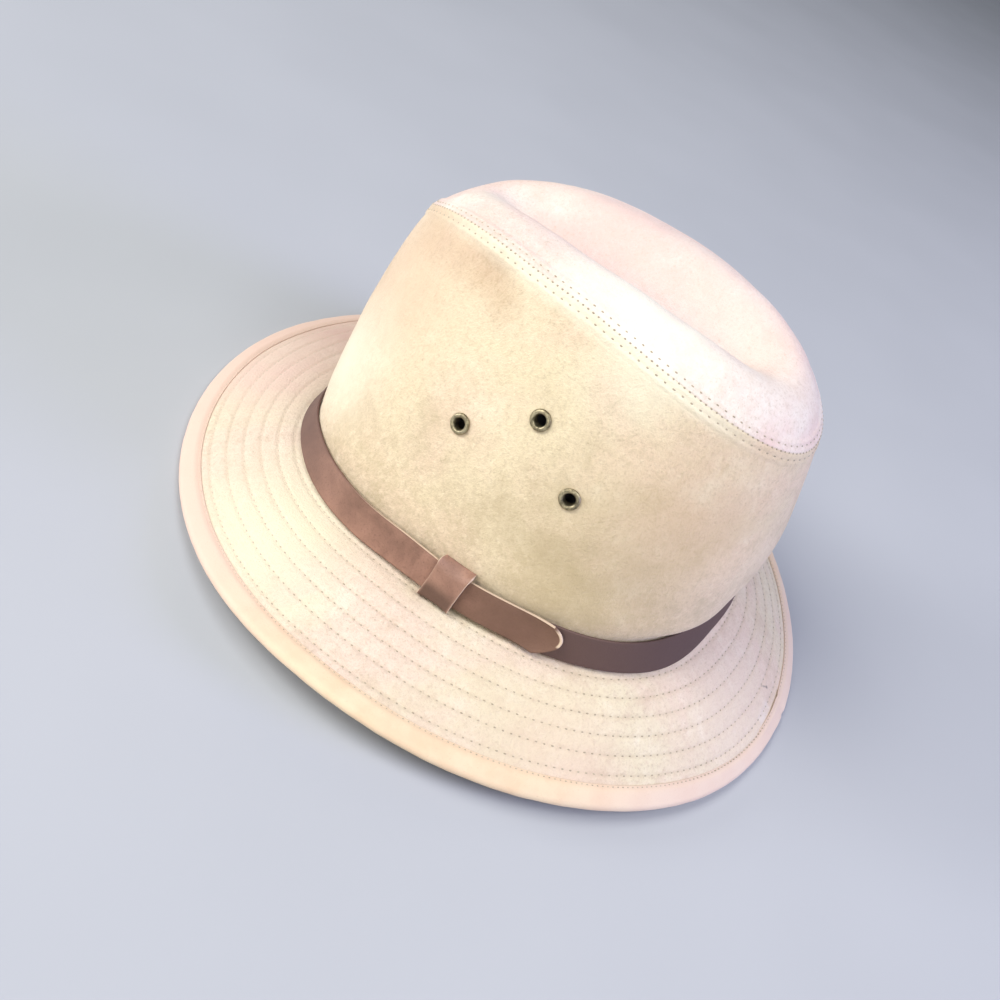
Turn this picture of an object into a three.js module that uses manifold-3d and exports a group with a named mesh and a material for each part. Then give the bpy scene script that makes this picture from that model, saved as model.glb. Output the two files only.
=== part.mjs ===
import * as THREE from 'three';
import { mergeVertices } from 'three/addons/utils/BufferGeometryUtils.js';
import Module from 'manifold-3d';

// A suede fedora: a sewn crown with a long centre dent, a stitched brim with a bound edge,
// a leather strap held by a keeper, and brass vent eyelets.
// Millimetres, +Z up. The front faces -Y and the wearer's left is +X.
// Heights are measured from the crown's foot, until the hat is set down on its brim.
// Angles run round the crown: 0 at the wearer's left, -90 at the front, +90 at the back.

// Sheet thicknesses, and the clearance between sewn or stacked pieces
const suede = 2;
const brimSheet = 2.2;
const bindingSheet = 0.9;
const strapSheet = 1.3;
const keeperSheet = 1;
const clearance = 0.3;
const strapGap = 0.4;
const weld = 1e-3;
const panels = 60;

// Crown plan at its foot and at the seam round its top: reach to the front and back, half width,
// egg shape (wider towards the back where positive) and squareness (2 is a plain oval)
const footPlan = { front: 102, back: 102, half: 88, egg: -0.08, square: 2.5 };
const seamPlan = { front: 95, back: 94, half: 50, egg: 0.12, square: 2.1 };
const wallBulge = { front: 1.5, back: 5, half: 3 };
const seamHeight = { front: 99, side: 123, back: 101, frontPower: 3.2, backPower: 1.8 };
const wallShares = [0, 0.12, 0.26, 0.42, 0.58, 0.74, 0.88, 1];

// Top panel: the crest is the rim of the dent, and the valley is the dent's lowest line
const crest = { front: 68, back: 72, half: 31, egg: 0.12, square: 2.2, sideHeight: 127.5, endHeight: 117 };
const valley = { front: 46, back: 50, middleHeight: 114, endHeight: 112 };
const shoulderShares = [0, 0.2, 0.45, 0.7, 1];
const dentShares = [0.25, 0.5, 0.75, 1];

// Brim: width along its surface, and slope down from level at its root and at its edge
const brimStations = {
  front: { width: 57.5, rootSlope: 3, edgeSlope: 21 },
  frontQuarter: { width: 52.5, rootSlope: 5, edgeSlope: 28 },
  side: { width: 63.5, rootSlope: 2, edgeSlope: 10 },
  backQuarter: { width: 54, rootSlope: 16, edgeSlope: 34 },
  back: { width: 60, rootSlope: 25, edgeSlope: 43 },
};
const brimShares = [0, 0.16, 0.32, 0.48, 0.64, 0.8, 0.92, 1];
const bindingWidth = 9.5;
const bindingFold = 2;

// Set down: the hat leans forward until its brim meets the floor, which presses its edge flat
const restPitch = THREE.MathUtils.degToRad(3.8);
const restHeight = 24.3;
const restCentreY = 1.65;
const footPress = 0.5;
const pressedShare = 0.5;
const pressBlend = 0.3;

// Strap, its lapped end and its keeper; angles in degrees
const strap = { bottom: 1.5, width: 15, start: -13, tip: 34.5, step: 5, mmPerDegree: 1.62 };
const lapRamp = 28;
const tipRounding = { length: 9, steps: 4, blunt: 0.3, curl: 1.2, curlLength: 12 };
const keeper = { angle: 8.7, halfAngle: 4.2, bottom: 0.35, top: 19.2, corner: 0.5 };
const keeperRamp = { flat: 5.5, end: 17 };

// Vent eyelets on the wearer's left, mirrored to the right
const eyelets = [
  { angle: -6.6, height: 64.3 },
  { angle: 21.7, height: 64.6 },
  { angle: 8.5, height: 83.2 },
];
const eyelet = { hole: 2.3, barrel: 2.75, flange: 4.9, lip: 0.65, dome: 1.25, sides: 16 };
const eyeletBack = { flange: 4, gap: 0.7, thickness: 0.7 };
const punchedHole = eyelet.barrel + clearance;
const punchLength = 12;

const rad = THREE.MathUtils.degToRad;
const around = Array.from({ length: panels }, (_, i) => (2 * Math.PI * i) / panels);
const floorUp = new THREE.Vector3(0, Math.sin(restPitch), Math.cos(restPitch));
const wasm = await Module();
wasm.setup();

const mix = THREE.MathUtils.lerp;

function ease(share) {
  return THREE.MathUtils.smoothstep(share, 0, 1);
}

// A closed oval in plan, as a point on its outline
function ovalPoint(angle, front, back, half, egg, square) {
  const s = Math.sin(angle);
  const c = Math.cos(angle);
  const reach = (Math.abs(c) ** square + Math.abs(s) ** square) ** (-1 / square);
  const length = s < 0 ? front : back;
  return new THREE.Vector2(half * c * reach * (1 + egg * s), length * s * reach);
}

// The crown's outline at a share of the way from its foot to its seam
function crownPlan(angle, share) {
  const swell = 4 * share * (1 - share);
  const size = (side) => mix(footPlan[side], seamPlan[side], share) + wallBulge[side] * swell;
  const egg = mix(footPlan.egg, seamPlan.egg, share);
  const square = mix(footPlan.square, seamPlan.square, share);
  return ovalPoint(angle, size('front'), size('back'), size('half'), egg, square);
}

function planNormal(angle, share) {
  const step = 1e-3;
  const along = crownPlan(angle + step, share).sub(crownPlan(angle - step, share)).normalize();
  return new THREE.Vector2(along.y, -along.x);
}

function seamHeightAt(angle) {
  const s = Math.sin(angle);
  const end = s < 0 ? seamHeight.front : seamHeight.back;
  const power = s < 0 ? seamHeight.frontPower : seamHeight.backPower;
  return mix(seamHeight.side, end, Math.abs(s) ** power);
}

// A point of the side wall, by its share of the height and its distance out from the outer face
function wallPoint(angle, share, out) {
  const plan = crownPlan(angle, share).addScaledVector(planNormal(angle, share), out);
  const top = seamHeightAt(angle) + Math.min(out, 0);
  return new THREE.Vector3(plan.x, plan.y, mix(clearance, top, share));
}

function wallPointAtHeight(angle, height, out) {
  const share = height / seamHeightAt(angle);
  const plan = crownPlan(angle, share).addScaledVector(planNormal(angle, share), out);
  return new THREE.Vector3(plan.x, plan.y, height);
}

// Joins a row of sections, each a list of points, into one welded closed mesh
function loft(sections, { closedRow = true, closedSection = true } = {}) {
  const size = sections[0].length;
  const rows = closedRow ? sections.length : sections.length - 1;
  const columns = closedSection ? size : size - 1;
  const index = [];
  for (let row = 0; row < rows; row += 1) {
    const next = (row + 1) % sections.length;
    for (let column = 0; column < columns; column += 1) {
      const beside = (column + 1) % size;
      const corners = [row * size + column, next * size + column, next * size + beside, row * size + beside];
      index.push(corners[0], corners[1], corners[2], corners[0], corners[2], corners[3]);
    }
  }
  if (!closedRow) {
    const last = (sections.length - 1) * size;
    for (let column = 1; column < size - 1; column += 1) {
      index.push(0, column, column + 1);
      index.push(last, last + column + 1, last + column);
    }
  }
  const geometry = new THREE.BufferGeometry().setFromPoints(sections.flat());
  geometry.setIndex(index);
  return facingOut(mergeVertices(geometry, weld));
}

function signedVolume(geometry) {
  const position = geometry.getAttribute('position');
  const corner = (i) => new THREE.Vector3().fromBufferAttribute(position, geometry.index.getX(i));
  let volume = 0;
  for (let i = 0; i < geometry.index.count; i += 3) {
    volume += corner(i).dot(corner(i + 1).cross(corner(i + 2))) / 6;
  }
  return volume;
}

function facingOut(geometry) {
  if (signedVolume(geometry) < 0) {
    const index = Array.from(geometry.index.array);
    geometry.setIndex(index.map((_, i) => index[i - (i % 3) + [0, 2, 1][i % 3]]));
  }
  return geometry;
}

function solidOf(geometry) {
  const bare = geometry.clone();
  bare.deleteAttribute('normal');
  bare.deleteAttribute('uv');
  const welded = mergeVertices(bare, weld);
  const vertProperties = new Float32Array(welded.getAttribute('position').array);
  const triVerts = new Uint32Array(welded.index.array);
  return new wasm.Manifold(new wasm.Mesh({ numProp: 3, vertProperties, triVerts }));
}

function geometryOf(solid) {
  const mesh = solid.getMesh();
  const geometry = new THREE.BufferGeometry();
  geometry.setAttribute('position', new THREE.BufferAttribute(mesh.vertProperties, 3));
  geometry.setIndex(Array.from(mesh.triVerts));
  return geometry;
}

// Where an eyelet sits on the wall, and which way it faces
function eyeletSeat({ angle, height }, mirrored) {
  const at = rad(mirrored ? 180 - angle : angle);
  const seat = wallPointAtHeight(at, height, 0);
  const step = 0.01;
  const along = wallPointAtHeight(at + step, height, 0).sub(seat);
  const up = wallPointAtHeight(at, height + 1, 0).sub(seat);
  return { seat, facing: along.cross(up).normalize() };
}

const eyeletSeats = [
  ...eyelets.map((row, i) => ({ name: `eyelet_left_${i + 1}`, ...eyeletSeat(row, false) })),
  ...eyelets.map((row, i) => ({ name: `eyelet_right_${i + 1}`, ...eyeletSeat(row, true) })),
];

function turnedTo(facing) {
  return new THREE.Quaternion().setFromUnitVectors(new THREE.Vector3(0, 1, 0), facing);
}

// Side wall: its upper edge is mitred to meet the top panel, and the eyelet holes are punched
function crownSide() {
  const sections = around.map((angle) => {
    const outer = wallShares.map((share) => wallPoint(angle, share, 0));
    const inner = wallShares.map((share) => wallPoint(angle, share, -suede));
    return [...outer, ...inner.reverse()];
  });
  let wall = solidOf(loft(sections));
  for (const { seat, facing } of eyeletSeats) {
    const punch = new THREE.CylinderGeometry(punchedHole, punchedHole, punchLength, eyelet.sides);
    punch.applyQuaternion(turnedTo(facing));
    punch.translate(seat.x, seat.y, seat.z);
    wall = wall.subtract(solidOf(punch));
  }
  return geometryOf(wall);
}

function crestPoint(angle) {
  const plan = ovalPoint(angle, crest.front, crest.back, crest.half, crest.egg, crest.square);
  const height = mix(crest.sideHeight, crest.endHeight, Math.abs(Math.sin(angle)) ** 3);
  return new THREE.Vector3(plan.x, plan.y, height);
}

function valleyPoint(angle) {
  const s = Math.sin(angle);
  const y = s * (s < 0 ? valley.front : valley.back);
  return new THREE.Vector3(0, y, mix(valley.middleHeight, valley.endHeight, s * s));
}

// Top panel: a rounded shoulder up from the seam to the crest, then down into the dent
function tipFace(angle, depth) {
  const mitreGap = clearance * Math.SQRT2;
  const seam = wallPoint(angle, 1, -depth);
  const top = crestPoint(angle);
  top.z -= depth;
  const low = valleyPoint(angle);
  low.z -= depth;
  const shoulder = shoulderShares.map((share) => {
    const point = seam.clone().lerp(top, share);
    point.z = mix(seam.z, top.z, Math.sin((share * Math.PI) / 2)) + mitreGap;
    return point;
  });
  const dent = dentShares.map((share) => {
    const point = top.clone().lerp(low, share);
    point.z = mix(top.z, low.z, ease(share)) + mitreGap;
    return point;
  });
  return [...shoulder, ...dent];
}

function crownTip() {
  const sections = around.map((angle) => [...tipFace(angle, suede).reverse(), ...tipFace(angle, 0)]);
  return loft(sections, { closedSection: false });
}

// A brim size that varies smoothly through its five stations, the same on both sides
function roundBrim(column) {
  const { front, frontQuarter, side, backQuarter, back } = brimStations;
  const ends = (front[column] + back[column]) / 2;
  const quarters = (frontQuarter[column] + backQuarter[column]) / 2;
  const straight = (ends + side[column]) / 2;
  const lean = (back[column] - front[column]) / 2;
  const quarterLean = (backQuarter[column] - frontQuarter[column]) / Math.SQRT2;
  return (angle) =>
    (quarters + straight) / 2 +
    ((quarterLean + lean) / 2) * Math.sin(angle) +
    ((side[column] - ends) / 2) * Math.cos(2 * angle) +
    ((quarterLean - lean) / 2) * Math.sin(3 * angle) +
    ((straight - quarters) / 2) * Math.cos(4 * angle);
}

const brimWidth = roundBrim('width');
const brimRootSlope = roundBrim('rootSlope');
const brimEdgeSlope = roundBrim('edgeSlope');

// A point on the brim before it is set down: distance along it, and height above its upper face
function hangingBrimPoint(angle, along, height) {
  const width = brimWidth(angle);
  const root = rad(brimRootSlope(angle));
  const turn = rad(brimEdgeSlope(angle)) - root;
  const slope = root + (turn * along) / width;
  const reach = (width / turn) * (Math.sin(slope) - Math.sin(root)) + height * Math.sin(slope);
  const drop = (width / turn) * (Math.cos(root) - Math.cos(slope)) - height * Math.cos(slope);
  const plan = crownPlan(angle, 0).addScaledVector(planNormal(angle, 0), reach);
  return new THREE.Vector3(plan.x, plan.y, -drop);
}

// The binding's folded section at an angle, as distance along the brim and height above it
function bindingSection(angle) {
  const edge = brimWidth(angle);
  const inner = edge - bindingWidth;
  const middle = edge - bindingWidth / 2;
  const round = edge - bindingFold;
  const nose = edge - bindingFold / 4;
  const over = clearance + bindingSheet;
  const under = -brimSheet - over;
  const crease = edge - over;
  return [
    [inner, over], [middle, over], [round, over], [nose, over * 0.35],
    [edge, -brimSheet / 2], [nose, under + over * 0.65], [round, under], [middle, under], [inner, under],
    [inner, under + bindingSheet], [middle, under + bindingSheet], [crease, under + bindingSheet],
    [crease, clearance], [middle, clearance], [inner, clearance],
  ];
}

function heightOverFloor(point) {
  return point.dot(floorUp) + restHeight;
}

// How far the floor pushes the brim's edge up at an angle
function edgeLift(angle) {
  const section = bindingSection(angle).map(([along, height]) => hangingBrimPoint(angle, along, height));
  const heights = section.map(heightOverFloor);
  const sunk = -Math.min(...heights) - footPress;
  return (sunk + Math.hypot(sunk, pressBlend)) / 2;
}

const edgeLifts = new Map(around.map((angle) => [angle, edgeLift(angle)]));

// A point on the brim as it rests: its outer part bends up off the floor, and its foot is pressed flat
function brimPoint(angle, along, height) {
  const point = hangingBrimPoint(angle, along, height);
  const bend = ease((along / brimWidth(angle) - pressedShare) / (1 - pressedShare));
  point.addScaledVector(floorUp, edgeLifts.get(angle) * bend);
  return point.addScaledVector(floorUp, Math.max(0, -heightOverFloor(point)));
}

// Brim: its root runs in under the side wall, and its edge ends inside the binding
function brim() {
  const sections = around.map((angle) => {
    const reach = brimWidth(angle) - bindingSheet - 2 * clearance;
    const root = wallPointAtHeight(angle, 0, -suede);
    const upper = brimShares.map((share) => brimPoint(angle, share * reach, 0));
    const lower = brimShares.map((share) => brimPoint(angle, share * reach, -brimSheet));
    const rootBelow = root.clone().setZ(-brimSheet);
    return [root, ...upper, ...lower.reverse(), rootBelow];
  });
  return loft(sections);
}

function brimBinding() {
  const sections = around.map((angle) =>
    bindingSection(angle).map(([along, height]) => brimPoint(angle, along, height)));
  return loft(sections);
}

// The strap's inner layer lies on the crown, and rises over the back of the keeper
function innerLayer(degrees) {
  const aside = Math.abs(degrees - keeper.angle);
  const over = 1 - ease((aside - keeperRamp.flat) / (keeperRamp.end - keeperRamp.flat));
  return mix(strapGap, keeperSheet + 2 * clearance, over);
}

// Distance from the crown to the strap's inner face, at an angle counted on from its start
function strapLayer(degrees) {
  const turned = degrees - 360;
  const onLap = ease((turned - strap.start + lapRamp + strap.step) / lapRamp);
  const lifted = innerLayer(turned) + strapSheet + clearance;
  return mix(innerLayer(degrees), lifted, onLap);
}

// Strap: one strip that starts under its own lap, goes once round, and ends in a rounded tip
function hatBand() {
  const tipAt = strap.tip + 360;
  const middle = strap.bottom + strap.width / 2;
  const stations = [];
  const roundFrom = tipAt - tipRounding.length / strap.mmPerDegree;
  for (let at = strap.start; at < roundFrom; at += strap.step) {
    stations.push({ at, half: strap.width / 2 });
  }
  for (let i = 0; i <= tipRounding.steps; i += 1) {
    const turn = (i / tipRounding.steps) * (Math.PI / 2);
    const at = mix(roundFrom, tipAt, Math.sin(turn));
    stations.push({ at, half: (strap.width / 2) * mix(tipRounding.blunt, 1, Math.cos(turn)) });
  }
  const sections = stations.map(({ at, half }) => {
    const toTip = (tipAt - at) * strap.mmPerDegree;
    const curl = tipRounding.curl * ease(1 - toTip / tipRounding.curlLength);
    const near = strapLayer(at) + curl;
    const place = (height, out) => wallPointAtHeight(rad(at), height, out);
    return [
      place(middle - half, near), place(middle - half, near + strapSheet),
      place(middle + half, near + strapSheet), place(middle + half, near),
    ];
  });
  return loft(sections, { closedRow: false });
}

// Keeper: a closed loop round both layers of the strap
function bandKeeper() {
  const nearFace = clearance + keeperSheet;
  const farFace = nearFace + 2 * strapSheet + 3 * clearance;
  const low = keeper.bottom + keeperSheet;
  const high = keeper.top - keeperSheet;
  const corners = [
    { out: farFace - keeper.corner, height: low + keeper.corner, turn: -90 },
    { out: farFace - keeper.corner, height: high - keeper.corner, turn: 0 },
    { out: nearFace + keeper.corner, height: high - keeper.corner, turn: 90 },
    { out: nearFace + keeper.corner, height: low + keeper.corner, turn: 180 },
  ];
  const angles = [-1, -1 / 3, 1 / 3, 1].map((share) => rad(keeper.angle + share * keeper.halfAngle));
  const sections = corners.flatMap(({ out, height, turn }) =>
    [0, 45, 90].map((bend) => {
      const dOut = Math.cos(rad(turn + bend));
      const dHeight = Math.sin(rad(turn + bend));
      const edge = (r) => angles.map((a) => wallPointAtHeight(a, height + r * dHeight, out + r * dOut));
      return [...edge(keeper.corner), ...edge(keeper.corner + keeperSheet).reverse()];
    }));
  return loft(sections);
}

// Eyelet: a domed flange outside, a barrel through the wall and a rolled flange inside
function eyeletRing() {
  const { hole, barrel, flange, lip, dome } = eyelet;
  const domeAt = mix(hole, flange, 0.35);
  const shoulderAt = mix(hole, flange, 0.75);
  const seat = -suede - eyeletBack.gap;
  const rolled = seat - eyeletBack.thickness;
  const profile = [
    [hole, lip], [domeAt, dome], [shoulderAt, dome - 0.1], [flange, lip], [flange, clearance],
    [barrel, clearance], [barrel, seat], [eyeletBack.flange, seat], [eyeletBack.flange, rolled],
    [barrel, rolled], [hole, seat], [hole, lip],
  ].map(([radius, height]) => new THREE.Vector2(radius, height));
  const ring = new THREE.LatheGeometry(profile, eyelet.sides);
  ring.deleteAttribute('normal');
  ring.deleteAttribute('uv');
  return facingOut(mergeVertices(ring, weld));
}

const suedeFinish = new THREE.MeshStandardMaterial({ color: 0xe8d3ac, roughness: 0.95, metalness: 0 });
const bindingFinish = new THREE.MeshStandardMaterial({ color: 0xf0d6b4, roughness: 0.7, metalness: 0 });
const strapFinish = new THREE.MeshStandardMaterial({ color: 0x7d5244, roughness: 0.5, metalness: 0 });
const brassFinish = new THREE.MeshStandardMaterial({ color: 0x8a8068, roughness: 0.35, metalness: 1 });

const hat = new THREE.Group();

function addPiece(name, geometry, finish) {
  const piece = new THREE.Mesh(geometry, finish);
  piece.name = name;
  hat.add(piece);
  return piece;
}

addPiece('crown_side', crownSide(), suedeFinish);
addPiece('crown_tip', crownTip(), suedeFinish);
addPiece('brim', brim(), suedeFinish);
addPiece('brim_binding', brimBinding(), bindingFinish);
addPiece('hat_band', hatBand(), strapFinish);
addPiece('band_keeper', bandKeeper(), strapFinish);
for (const { name, seat, facing } of eyeletSeats) {
  const ring = addPiece(name, eyeletRing(), brassFinish);
  ring.position.copy(seat);
  ring.quaternion.copy(turnedTo(facing));
}

hat.rotation.x = restPitch;
hat.position.set(0, restCentreY, restHeight);

export default hat;
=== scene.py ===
import math

import bpy
import numpy as np
from mathutils import Euler, Matrix, Vector, noise


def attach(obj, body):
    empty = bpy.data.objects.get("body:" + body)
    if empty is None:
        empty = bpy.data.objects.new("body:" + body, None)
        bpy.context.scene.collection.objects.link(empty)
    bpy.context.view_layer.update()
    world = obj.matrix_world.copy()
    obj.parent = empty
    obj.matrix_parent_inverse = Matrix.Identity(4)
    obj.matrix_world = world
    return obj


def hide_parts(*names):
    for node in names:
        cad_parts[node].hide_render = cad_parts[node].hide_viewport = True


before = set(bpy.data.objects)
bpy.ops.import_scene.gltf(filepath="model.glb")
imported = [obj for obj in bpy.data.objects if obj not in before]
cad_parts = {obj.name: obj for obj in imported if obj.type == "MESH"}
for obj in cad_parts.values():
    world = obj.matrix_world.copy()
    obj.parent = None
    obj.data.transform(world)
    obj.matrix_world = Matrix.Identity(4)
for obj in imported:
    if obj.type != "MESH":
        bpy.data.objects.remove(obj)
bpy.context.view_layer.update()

# Sizes are in millimetres from the foot of the crown, front towards -Y, until setDown.
# Angles run round the crown: 0 at the wearer's left, 90 at the back.
rest = {
    "pitch": 3.8, "height": 24.3, "centreY": 1.65,  # how the hat stands
    "press": 0.5, "pressedShare": 0.5, "pressBlend": 0.3,  # how the floor bends the brim's edge
}
restTurn = math.radians(rest["pitch"])
floorUp = np.array([0, math.sin(restTurn), math.cos(restTurn)])
fullTurn = 2 * math.pi
perMetre = 1000  # millimetres
mergeGap = 0.004  # points closer than this become one
seedStep = 7.3  # how far apart two seeds read the noise
crispAngle = math.radians(50)  # sharper edges are bevelled, or stay crisp


def ease(share):
    share = np.clip(share, 0, 1)
    return share * share * (3 - 2 * share)


def ramp(value, low, high):  # 0 at low, 1 at high
    return ease((value - low) / (high - low))


def mix(first, second, share):
    return first + (second - first) * share


def hump(distance, width):
    return np.exp(-((distance / width) ** 2))


def unit(vectors):
    return vectors / np.maximum(np.linalg.norm(vectors, axis=-1, keepdims=True), 1e-9)


def degreesFrom(degrees, middle=0):  # the shorter way round, -180 to 180
    return (degrees - middle + 180) % 360 - 180


def unevenness(points, amount, size, seed):  # soft humps and hollows of the given size
    flat = points.reshape(-1, 3) / size + seed * seedStep
    heights = np.array([noise.noise(Vector(row)) for row in flat])
    return amount * heights.reshape(points.shape[:-1])


def setDown(points):  # the hat leans forward on to its brim, then millimetres become metres
    x, y, z = np.moveaxis(points, -1, 0)
    c, s = math.cos(restTurn), math.sin(restTurn)
    placed = np.stack([x, y * c - z * s + rest["centreY"], y * s + z * c + rest["height"]], -1)
    return placed / perMetre


def metres(point):
    return tuple(setDown(np.array(point, float)))


# Leather pieces: each starts as a flat grid, is laid to its shape, and then gets its thickness

def leatherGrid(name, columns, rows):
    bpy.ops.object.select_all(action="DESELECT")
    bpy.ops.mesh.primitive_grid_add(x_subdivisions=columns, y_subdivisions=rows, size=1,
                                    location=(0.5, 0.5, 0))
    bpy.ops.object.transform_apply(location=True, rotation=True, scale=True)
    piece = bpy.context.object
    piece.name = piece.data.name = name
    flat = np.empty(len(piece.data.vertices) * 3)
    piece.data.vertices.foreach_get("co", flat)
    flat = flat.reshape(rows + 1, columns + 1, 3)
    return piece, flat[..., 0], flat[..., 1]


def faceNormals(points):  # of a closed ring: its last column lies on its first
    points = np.concatenate([points[:, -2:-1], points, points[:, 1:2]], 1)
    around, across = np.gradient(points, axis=1), np.gradient(points, axis=0)
    return unit(np.cross(around, across))[:, 1:-1]


def layOut(piece, points, groove):
    piece.data.vertices.foreach_set("co", setDown(points).ravel())
    marks = piece.data.attributes.new("groove", "FLOAT", "POINT")  # 1 in the bottom of a sewn groove
    depths = np.broadcast_to(groove, points.shape[:-1]).astype(np.float32)
    marks.data.foreach_set("value", depths.ravel())
    piece.data.update()
    bpy.ops.object.mode_set(mode="EDIT")
    bpy.ops.mesh.select_all(action="SELECT")
    bpy.ops.mesh.remove_doubles(threshold=mergeGap / perMetre)
    bpy.ops.object.mode_set(mode="OBJECT")
    bpy.ops.object.shade_smooth()


def applyModifier(piece, kind, **settings):
    bpy.context.view_layer.objects.active = piece
    modifier = piece.modifiers.new(kind.lower(), kind)
    for name, value in settings.items():
        setattr(modifier, name, value)
    bpy.ops.object.modifier_apply(modifier=modifier.name)


def thicken(piece, sheet, edge=0.0):
    applyModifier(piece, "SOLIDIFY", thickness=sheet / perMetre, offset=-1, use_even_offset=True,
                  use_rim=True)
    if edge:
        applyModifier(piece, "BEVEL", width=edge / perMetre, segments=2, limit_method="ANGLE",
                      angle_limit=crispAngle)


def finishPiece(piece, node, material):
    piece.data.materials.clear()
    piece.data.materials.append(material)
    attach(piece, "root")
    if node:
        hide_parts(node)
    print(f"{piece.name}: {len(piece.data.polygons)} faces")


# Finishes: shader maths is written with Python's own operators

class Signal:
    def __init__(self, tree, socket=None):
        self.tree = tree
        self.socket = socket

    def node(self, kind, settings=None, inputs=None, output=0):
        made = self.tree.nodes.new(kind)
        for name, value in (settings or {}).items():
            setattr(made, name, value)
        for name, value in (inputs or {}).items():
            if isinstance(value, Signal):
                self.tree.links.new(value.socket, made.inputs[name])
            else:
                made.inputs[name].default_value = value
        return Signal(self.tree, made.outputs[output])

    def maths(self, operation, first, second=0.0):
        return self.node("ShaderNodeMath", {"operation": operation}, {0: first, 1: second})

    def __add__(self, other):
        return self.maths("ADD", self, other)

    def __radd__(self, other):
        return self.maths("ADD", other, self)

    def __sub__(self, other):
        return self.maths("SUBTRACT", self, other)

    def __rsub__(self, other):
        return self.maths("SUBTRACT", other, self)

    def __mul__(self, other):
        return self.maths("MULTIPLY", self, other)

    def __rmul__(self, other):
        return self.maths("MULTIPLY", other, self)

    def largest(self, other):
        return self.maths("MAXIMUM", self, other)

    def fromMiddle(self):  # a share across a strip becomes 0 along its middle, 1 at both edges
        return self.maths("ABSOLUTE", self - 0.5) * 2

    def rise(self, low, high):  # 0 below low, 1 above high
        return self.node("ShaderNodeMapRange", {"interpolation_type": "SMOOTHSTEP"},
                         {"Value": self, "From Min": low, "From Max": high})

    def blend(self, first, second):  # this signal mixes two colours
        return self.node("ShaderNodeMix", {"data_type": "RGBA"}, {0: self, 6: first, 7: second}, 2)

    def coords(self, kind):
        return self.node("ShaderNodeTexCoord", output=kind)

    def axis(self, name):
        return self.node("ShaderNodeSeparateXYZ", None, {0: self}, name)

    def grain(self, place, scale, detail=2.0, rough=0.5, warp=0.0):
        return self.node("ShaderNodeTexNoise", None, {"Vector": place, "Scale": scale, "Detail": detail,
                                                      "Roughness": rough, "Distortion": warp})

    def bump(self, strength, distance):
        return self.node("ShaderNodeBump", None,
                         {"Height": self, "Strength": strength, "Distance": distance})


def newFinish(name, **uniform):
    material = bpy.data.materials.new(name)
    material.use_nodes = True
    shader = material.node_tree.nodes["Principled BSDF"]
    for socket, value in uniform.items():
        shader.inputs[socket.replace("_", " ")].default_value = value
    return material, shader, Signal(material.node_tree)


def plug(shader, **signals):
    for socket, signal in signals.items():
        signal.tree.links.new(signal.socket, shader.inputs[socket.replace("_", " ")])


def tone(red, green, blue):  # a screen colour, 0 to 255, as a linear shader colour
    linear = [((v / 255 + 0.055) / 1.055) ** 2.4 if v > 10 else v / 255 / 12.92 for v in (red, green, blue)]
    return (*linear, 1)


# Crown: plan at its foot and at its seam, and the sewing along the seam

crown = {
    "foot": {"front": 102, "back": 102, "half": 88, "egg": -0.08, "square": 2.5},
    "seam": {"front": 95, "back": 94, "half": 50, "egg": 0.12, "square": 2.1},
    "bulge": {"front": 1.5, "back": 5, "half": 3},
    "seamFront": 99, "seamSide": 123, "seamBack": 101, "frontPower": 3.2, "backPower": 1.8,
    "sheet": 2, "clearance": 0.3,
    "frontAt": -90, "rollBack": 5, "rollFrom": 0.62, "rollSpread": 42,  # the front rolls back to its seam
}
seamWork = {
    "raise": 0.35, "allowance": 4.6, "slope": 2, "frontRaise": 1.0, "frontAt": -82, "frontSpread": 10,
    "topstitch": 2.5, "groove": 0.2, "grooveWidth": 0.7,
    "turnIn": 0.2, "turnWidth": 0.5, "shared": 2.5, "puckerAt": 7, "puckerSpread": 5,
    "seamMark": 0.5, "seamMarkWidth": 0.5, "stitchMark": 0.4, "stitchMarkWidth": 0.8,
}


def oval(angle, front, back, half, egg, square):
    s, c = np.sin(angle), np.cos(angle)
    reach = (np.abs(c) ** square + np.abs(s) ** square) ** (-1 / square)
    return np.stack([half * c * reach * (1 + egg * s), np.where(s < 0, front, back) * s * reach], -1)


def crownPlan(angle, share):
    foot, seam, bulge = crown["foot"], crown["seam"], crown["bulge"]
    swell = 4 * share * (1 - share)
    sizes = [mix(foot[side], seam[side], share) + bulge[side] * swell for side in bulge]
    plan = oval(angle, *sizes, *[mix(foot[key], seam[key], share) for key in ("egg", "square")])
    fromFront = degreesFrom(np.degrees(angle), crown["frontAt"])
    rolled = np.clip((share - crown["rollFrom"]) / (1 - crown["rollFrom"]), 0, 1) ** 2
    plan[..., 1] += crown["rollBack"] * rolled * hump(fromFront, crown["rollSpread"])
    return plan


def planNormal(angle, share):
    step = 1e-3
    along = unit(crownPlan(angle + step, share) - crownPlan(angle - step, share))
    return np.stack([along[..., 1], -along[..., 0]], -1)


def seamHeight(angle):
    s = np.sin(angle)
    end = np.where(s < 0, crown["seamFront"], crown["seamBack"])
    power = np.where(s < 0, crown["frontPower"], crown["backPower"])
    return mix(crown["seamSide"], end, np.abs(s) ** power)


def seamEdge(angle):
    return np.concatenate([crownPlan(angle, np.ones_like(angle)), seamHeight(angle)[..., None]], -1)


def wallAt(angle, height, out=0.0):
    angle, height, out = np.broadcast_arrays(*(np.asarray(a, float) for a in (angle, height, out)))
    share = height / seamHeight(angle)
    plan = crownPlan(angle, share) + planNormal(angle, share) * out[..., None]
    return np.concatenate([plan, height[..., None]], -1)


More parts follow.
